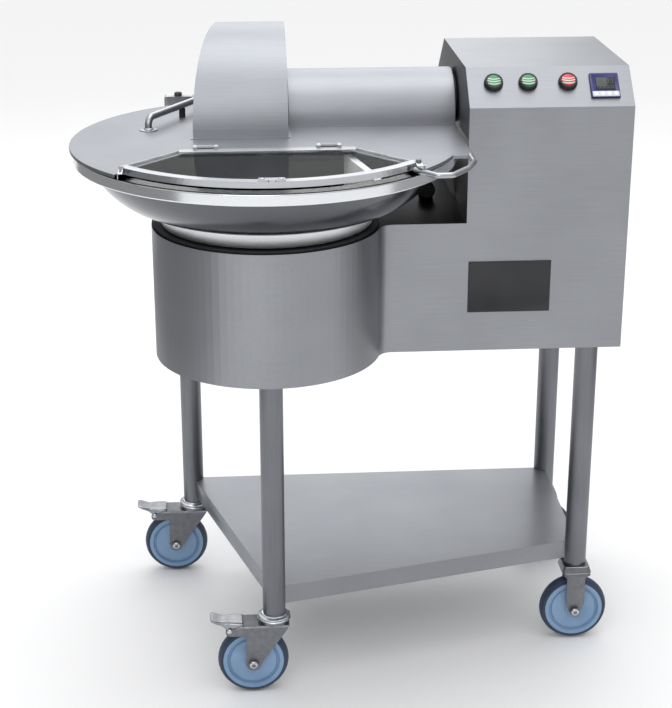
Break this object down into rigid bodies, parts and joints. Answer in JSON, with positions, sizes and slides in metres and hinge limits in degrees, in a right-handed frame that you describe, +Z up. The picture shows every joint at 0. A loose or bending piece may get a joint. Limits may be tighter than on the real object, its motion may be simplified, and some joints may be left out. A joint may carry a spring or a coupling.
{
  "type": "meat bowl cutter",
  "caption": "Bowl cutter for meat: turning ring bowl under a hinged lid with knife hood and window, sheet-metal cabinet with sloping control panel, tube stand on castors.",
  "frame": {"origin": "middle of the outer box in plan, at floor level", "axes": "+Z up, -Y towards the operator and the control panel, +X towards the tower with the motors"},
  "size_m": [0.9465, 0.7365, 1.14],
  "materials": {
    "brushed_stainless": "fine brushed",
    "bowl_stainless": "polished",
    "knife_steel": "ground and polished",
    "zinc_plated": "bright zinc plated",
    "cast_aluminium": "as cast",
    "motor_paint": "hammered grey paint",
    "machine_iron": "machined",
    "badge_metal": "satin dark plate",
    "black_plastic": "matte",
    "controller_plastic": "satin",
    "green_plastic": "gloss",
    "red_plastic": "gloss",
    "white_plastic": "matte",
    "clear_pane": "clear",
    "black_rubber": "matte",
    "grey_tyre": "matte",
    "blue_wheel": "satin"
  },
  "bodies": {
    "frame": {"legs": "brushed_stainless", "stand_shelf": "brushed_stainless", "cabinet_shell": "brushed_stainless", "base_plate": "brushed_stainless", "rear_cover": "brushed_stainless", "cover_screws": "brushed_stainless", "cable_gland": "black_plastic", "name_plate": "badge_metal", "deck_rubber_parts": "black_rubber", "button_bezels": "black_plastic", "controller": "controller_plastic", "spindle_housing": "machine_iron", "ball_bearings": "knife_steel", "bowl_gearmotor": "cast_aluminium", "bowl_belt": "black_rubber", "shaft_arm": "brushed_stainless", "knife_motor": "motor_paint", "knife_belt": "black_rubber", "hinge_post": "brushed_stainless", "hinge_rod": "brushed_stainless", "swivel_heads": "zinc_plated", "rigid_castor_forks": "zinc_plated"},
    "lid": {"lid_sheet": "brushed_stainless", "knife_hood": "brushed_stainless", "shaft_cover": "brushed_stainless", "lid_handle": "brushed_stainless", "handle_buffer": "black_rubber", "grab_rod": "brushed_stainless", "scraper": "white_plastic", "lid_hinge_straps": "brushed_stainless", "window_hinge_leaves": "brushed_stainless"},
    "window": {"window_pane": "clear_pane", "window_front_strip": "brushed_stainless", "window_back_strip": "brushed_stainless"},
    "bowl": {"bowl": "bowl_stainless", "turntable": "cast_aluminium", "bowl_clamp_nut": "brushed_stainless", "bowl_spindle": "knife_steel", "bowl_pulley": "machine_iron"},
    "bowl_drive": {"gearmotor_pulley": "machine_iron"},
    "knife": {"knife_shaft": "knife_steel", "knife_blades": "knife_steel", "knife_head": "knife_steel", "shaft_pulley": "machine_iron"},
    "knife_drive": {"motor_pulley": "machine_iron"},
    "start_button": {"start_button": "green_plastic"},
    "speed_button": {"speed_button": "green_plastic"},
    "stop_button": {"stop_button": "red_plastic"},
    "wheel_front_left": {"wheel_core_front_left": "blue_wheel", "tyre_front_left": "grey_tyre"},
    "castor_front_left": {"castor_fork_front_left": "zinc_plated"},
    "pedal_front_left": {"brake_pedal_front_left": "zinc_plated"},
    "wheel_rear_left": {"wheel_core_rear_left": "blue_wheel", "tyre_rear_left": "grey_tyre"},
    "castor_rear_left": {"castor_fork_rear_left": "zinc_plated"},
    "pedal_rear_left": {"brake_pedal_rear_left": "zinc_plated"},
    "wheel_front_right": {"wheel_core_front_right": "blue_wheel", "tyre_front_right": "grey_tyre"},
    "wheel_rear_right": {"wheel_core_rear_right": "blue_wheel", "tyre_rear_right": "grey_tyre"}
  },
  "joints": [
    {"name": "lid_hinge", "type": "hinge", "parent": "frame", "child": "lid", "pos_m": [-0.154, 0.288, 0.968], "axis": [-1, 0, 0], "range_deg": [0, 95]},
    {"name": "window_hinge", "type": "hinge", "parent": "lid", "child": "window", "pos_m": [-0.154, -0.134, 0.986], "axis": [-1, 0, 0], "range_deg": [0, 100]},
    {"name": "bowl_spin", "type": "hinge", "parent": "frame", "child": "bowl", "pos_m": [-0.154, -0.048, 0.9], "axis": [0, 0, 1], "continuous": true},
    {"name": "bowl_drive_spin", "type": "hinge", "parent": "frame", "child": "bowl_drive", "pos_m": [-0.042, 0.15, 0.7], "axis": [0, 0, 1], "continuous": true},
    {"name": "knife_spin", "type": "hinge", "parent": "frame", "child": "knife", "pos_m": [-0.154, 0.117, 1.003], "axis": [1, 0, 0], "continuous": true},
    {"name": "knife_drive_spin", "type": "hinge", "parent": "frame", "child": "knife_drive", "pos_m": [0.298, 0.16, 0.706], "axis": [1, 0, 0], "continuous": true},
    {"name": "start_button_press", "type": "slide", "parent": "frame", "child": "start_button", "axis": [0, 0.6809, -0.7324], "range_m": [0, 0.003], "stiffness_N_per_m": 400, "springref_m": -0.002},
    {"name": "speed_button_press", "type": "slide", "parent": "frame", "child": "speed_button", "axis": [0, 0.6809, -0.7324], "range_m": [0, 0.003], "stiffness_N_per_m": 400, "springref_m": -0.002},
    {"name": "stop_button_press", "type": "slide", "parent": "frame", "child": "stop_button", "axis": [0, 0.6809, -0.7324], "range_m": [0, 0.003], "stiffness_N_per_m": 400, "springref_m": -0.002},
    {"name": "castor_front_left_swivel", "type": "hinge", "parent": "frame", "child": "castor_front_left", "pos_m": [-0.154, -0.143, 0.145], "axis": [0, 0, 1], "continuous": true},
    {"name": "wheel_front_left_roll", "type": "hinge", "parent": "castor_front_left", "child": "wheel_front_left", "pos_m": [-0.192, -0.143, 0.0625], "axis": [0, 1, 0], "continuous": true},
    {"name": "pedal_front_left_press", "type": "hinge", "parent": "castor_front_left", "child": "pedal_front_left", "pos_m": [-0.233, -0.143, 0.128], "axis": [0, -1, 0], "range_deg": [0, 12]},
    {"name": "castor_rear_left_swivel", "type": "hinge", "parent": "frame", "child": "castor_rear_left", "pos_m": [-0.2985, 0.329, 0.145], "axis": [0, 0, 1], "continuous": true},
    {"name": "wheel_rear_left_roll", "type": "hinge", "parent": "castor_rear_left", "child": "wheel_rear_left", "pos_m": [-0.3365, 0.329, 0.0625], "axis": [0, 1, 0], "continuous": true},
    {"name": "pedal_rear_left_press", "type": "hinge", "parent": "castor_rear_left", "child": "pedal_rear_left", "pos_m": [-0.3775, 0.329, 0.128], "axis": [0, -1, 0], "range_deg": [0, 12]},
    {"name": "wheel_front_right_roll", "type": "hinge", "parent": "frame", "child": "wheel_front_right", "pos_m": [0.4105, 0.005, 0.0625], "axis": [0, 1, 0], "continuous": true},
    {"name": "wheel_rear_right_roll", "type": "hinge", "parent": "frame", "child": "wheel_rear_right", "pos_m": [0.4105, 0.329, 0.0625], "axis": [0, 1, 0], "continuous": true}
  ],
  "couplings": [
    {"joint": "bowl_drive_spin", "follows": "bowl_spin", "ratio": 3},
    {"joint": "knife_drive_spin", "follows": "knife_spin", "ratio": 0.81818}
  ]
}
